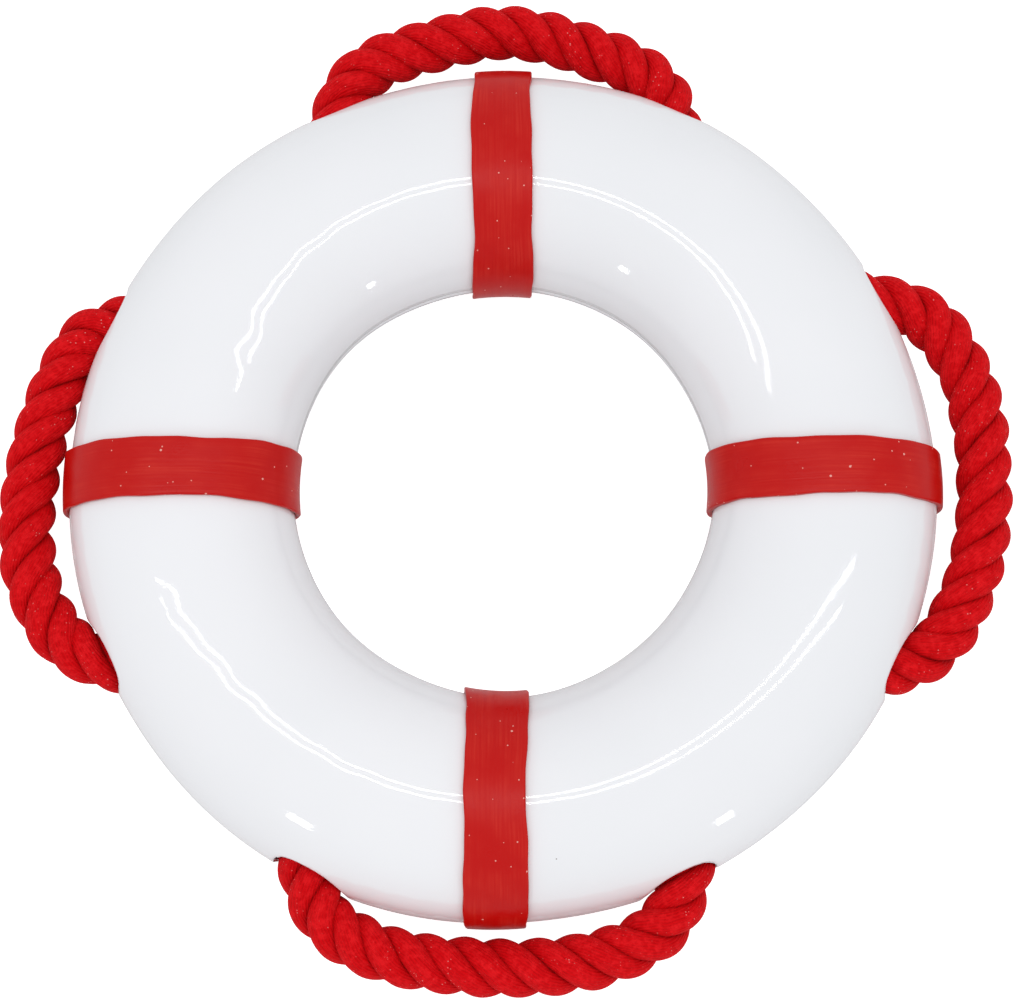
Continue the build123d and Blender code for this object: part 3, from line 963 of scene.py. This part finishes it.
# ---------------------------------------- studio
@dataclass
class Studio:
    """A pale floor, soft light, two long tubes overhead, two low softboxes and the camera."""

    distance: float = 1.054
    elevation: float = math.radians(77.8)
    view_right: float = 3.12 * MM
    view_up: float = -4.86 * MM
    focal_in_widths: float = 2.54652
    sensor: float = 36.0
    floor_reach: float = 6.0
    floor_gap: float = 0.4 * MM
    floor_glow: float = 0.75
    room_light: float = 0.81
    tube_height: float = 1.9
    tube_size: tuple = (2.6, 0.024)
    tube_spacing: float = 0.17
    tube_power: float = 4.5
    softbox_reach: float = 1.25
    softbox_size: tuple = (0.06, 0.15)
    softbox_power: float = 0.6

    def floor(self) -> None:
        """A wide pale floor, just under the object. Only the camera sees its glow."""
        level = CAD_BOUNDS[0][2] - self.floor_gap
        corner = np.array([[-1, -1, 0], [1, -1, 0], [1, 1, 0], [-1, 1, 0]]) * self.floor_reach
        floor = mesh_piece("floor", corner + [0, 0, level], [[0, 1, 2, 3]])
        g = Graph("studio_floor")
        place = g.object_place()
        seen = g.node("LightPath").outputs["Is Camera Ray"]
        g.set(Base_Color=g.mix(g.noise(place, 2.0), colour(0.80, 0.80, 0.80), colour(0.82, 0.82, 0.82)),
              Roughness=0.7, Emission_Color=colour(1, 1, 1),
              Emission_Strength=g.math("MULTIPLY", seen, self.floor_glow))
        floor.data.materials.append(g.material)

    def soft_light(self) -> None:
        """Even light from all round."""
        world = bpy.data.worlds.new("soft_room")
        bpy.context.scene.world = world
        world.use_nodes = True
        back = world.node_tree.nodes["Background"]
        back.inputs[0].default_value = colour(0.98, 0.985, 1.0)
        back.inputs[1].default_value = self.room_light

    def lamp(self, name: str, place: Vector, aim: Vector, size: tuple[float, float], power: float) -> None:
        """Adds a rectangular area lamp that points at aim."""
        data = bpy.data.lights.new(name, "AREA")
        data.shape = "RECTANGLE"
        data.size, data.size_y = size
        data.energy = power
        lamp = bpy.data.objects.new(name, data)
        lamp.location = place
        lamp.rotation_euler = (aim - place).to_track_quat("-Z", "Y").to_euler()
        bpy.context.scene.collection.objects.link(lamp)

    def lamps(self) -> None:
        """Two overhead tubes give the crest's double line, two softboxes its square lights."""
        over = Vector((0, 0.02, 0))
        for name, share in (("tube_near", -0.5), ("tube_far", 0.5)):
            place = over + Vector((0, share * self.tube_spacing, self.tube_height))
            self.lamp(name, place, over, self.tube_size, self.tube_power)
        for name, turn, high in (("softbox_left", -36, 0.63), ("softbox_right", 38, 0.34)):
            way = Vector((math.sin(math.radians(turn)), -math.cos(math.radians(turn)), 0))
            place = way * self.softbox_reach + Vector((0, 0, high))
            self.lamp(name, place, Vector((0, 0, 0)), self.softbox_size, self.softbox_power)

    def camera(self) -> None:
        """The camera, looking down on the object from just off its axis."""
        data = bpy.data.cameras.new("camera")
        data.sensor_width = self.sensor
        data.lens = self.focal_in_widths * self.sensor
        right = Vector((1, 0, 0))
        up = Vector((0, math.sin(self.elevation), math.cos(self.elevation)))
        back = Vector((0, -math.cos(self.elevation), math.sin(self.elevation)))
        turn = Matrix((right, up, back)).transposed().to_4x4()
        place = back * self.distance + right * self.view_right + up * self.view_up
        camera = bpy.data.objects.new("camera", data)
        camera.matrix_world = Matrix.Translation(place) @ turn
        bpy.context.scene.collection.objects.link(camera)
        bpy.context.scene.camera = camera
        bpy.context.scene.view_settings.view_transform = "Standard"

    def build(self) -> None:
        """Builds the whole studio."""
        self.floor()
        self.soft_light()
        self.lamps()
        self.camera()


# ---------------------------------------- putting it together
@dataclass
class Lifebuoy:
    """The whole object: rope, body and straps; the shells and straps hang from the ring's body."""

    skin: MouldedSkin = MouldedSkin()
    vinyl: StrapVinyl = StrapVinyl()
    yarn: RopeYarn = RopeYarn()
    blend_in: float = 149.0 * MM
    blend_out: float = 166.0 * MM

    def rope(self) -> dict:
        """Builds the four quarters of the rope, each as one mesh of three strands."""
        lines = {side: RopeLine(side) for side in Side}
        inner_nodes = {
            Side.RIGHT: ["rope_inside_upper_right"],
            Side.TOP: ["rope_inside_upper_left"],
            Side.LEFT: ["rope_end_from_left_loop"],
            Side.BOTTOM: ["rope_end_from_bottom_loop", "rope_inside_lower_right"],
        }
        first_turns = {Side.RIGHT: 0.3, Side.TOP: 1.1, Side.LEFT: 1.9, Side.BOTTOM: 0.6}
        material = self.yarn.material()
        for side, line in lines.items():
            rope = GrabRope(line, first_turns[side])
            piece = rope.build()
            piece.data.materials.append(material)
            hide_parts(f"rope_loop_{side.word}", *inner_nodes[side])
            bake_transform(piece)
            faces = len(piece.data.polygons)
            log.info("%s: %.0f mm of rope, %d faces", piece.name, line.length / MM, faces)
        return lines

    def shells(self, lines: dict) -> MouldedBody:
        """Builds the two half shells."""
        body = MouldedBody(lines)
        material = self.skin.material()
        for half, shell in body.halves().items():
            shell.data.materials.append(material)
            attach(shell, "ring")
            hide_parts(f"shell_{half.name.lower()}")
            log.info("%s: %d faces", shell.name, len(shell.data.polygons))
        return body

    def straps(self, body: MouldedBody) -> None:
        """Builds the four straps."""
        material = self.vinyl.material()
        for number, side in enumerate(Side):
            strap = Strap(side, body, seed=number + 3).build()
            strap.data.materials.append(material)
            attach(strap, "ring")
            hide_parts(f"band_{side.word}")
            log.info("%s: %d faces", strap.name, len(strap.data.polygons))

    def inner_pieces(self) -> None:
        """Dresses the pieces that keep their own shape."""
        finishes = {
            "foam": RigidFoam(),
            "sleeve_white": PlainPlastic("sleeve_plastic", colour(0.7, 0.71, 0.73),
                                         colour(0.6, 0.61, 0.64), 0.45),
            "plug_white": PlainPlastic("plug_plastic", colour(0.78, 0.79, 0.82),
                                       colour(0.7, 0.71, 0.74), 0.35),
            "binding_black": PlainPlastic("shrink_tube", colour(0.02, 0.02, 0.022),
                                          colour(0.04, 0.04, 0.042), 0.4),
        }
        materials = {slot: finish.material() for slot, finish in finishes.items()}
        for entry in frame["record"]["subparts"]:
            slot = entry["material_slot"]
            if slot in materials:
                node = frame["nodes"][entry["node"]]
                node.data.materials.clear()
                node.data.materials.append(materials[slot])

    def build(self) -> None:
        """Builds every piece."""
        lines = self.rope()
        body = self.shells(lines)
        self.straps(body)
        self.inner_pieces()


def main() -> None:
    """Builds the studio and the object, in order."""
    logging.basicConfig(level=logging.INFO)
    Studio().build()
    Lifebuoy().build()


if __name__ == "__main__":
    main()
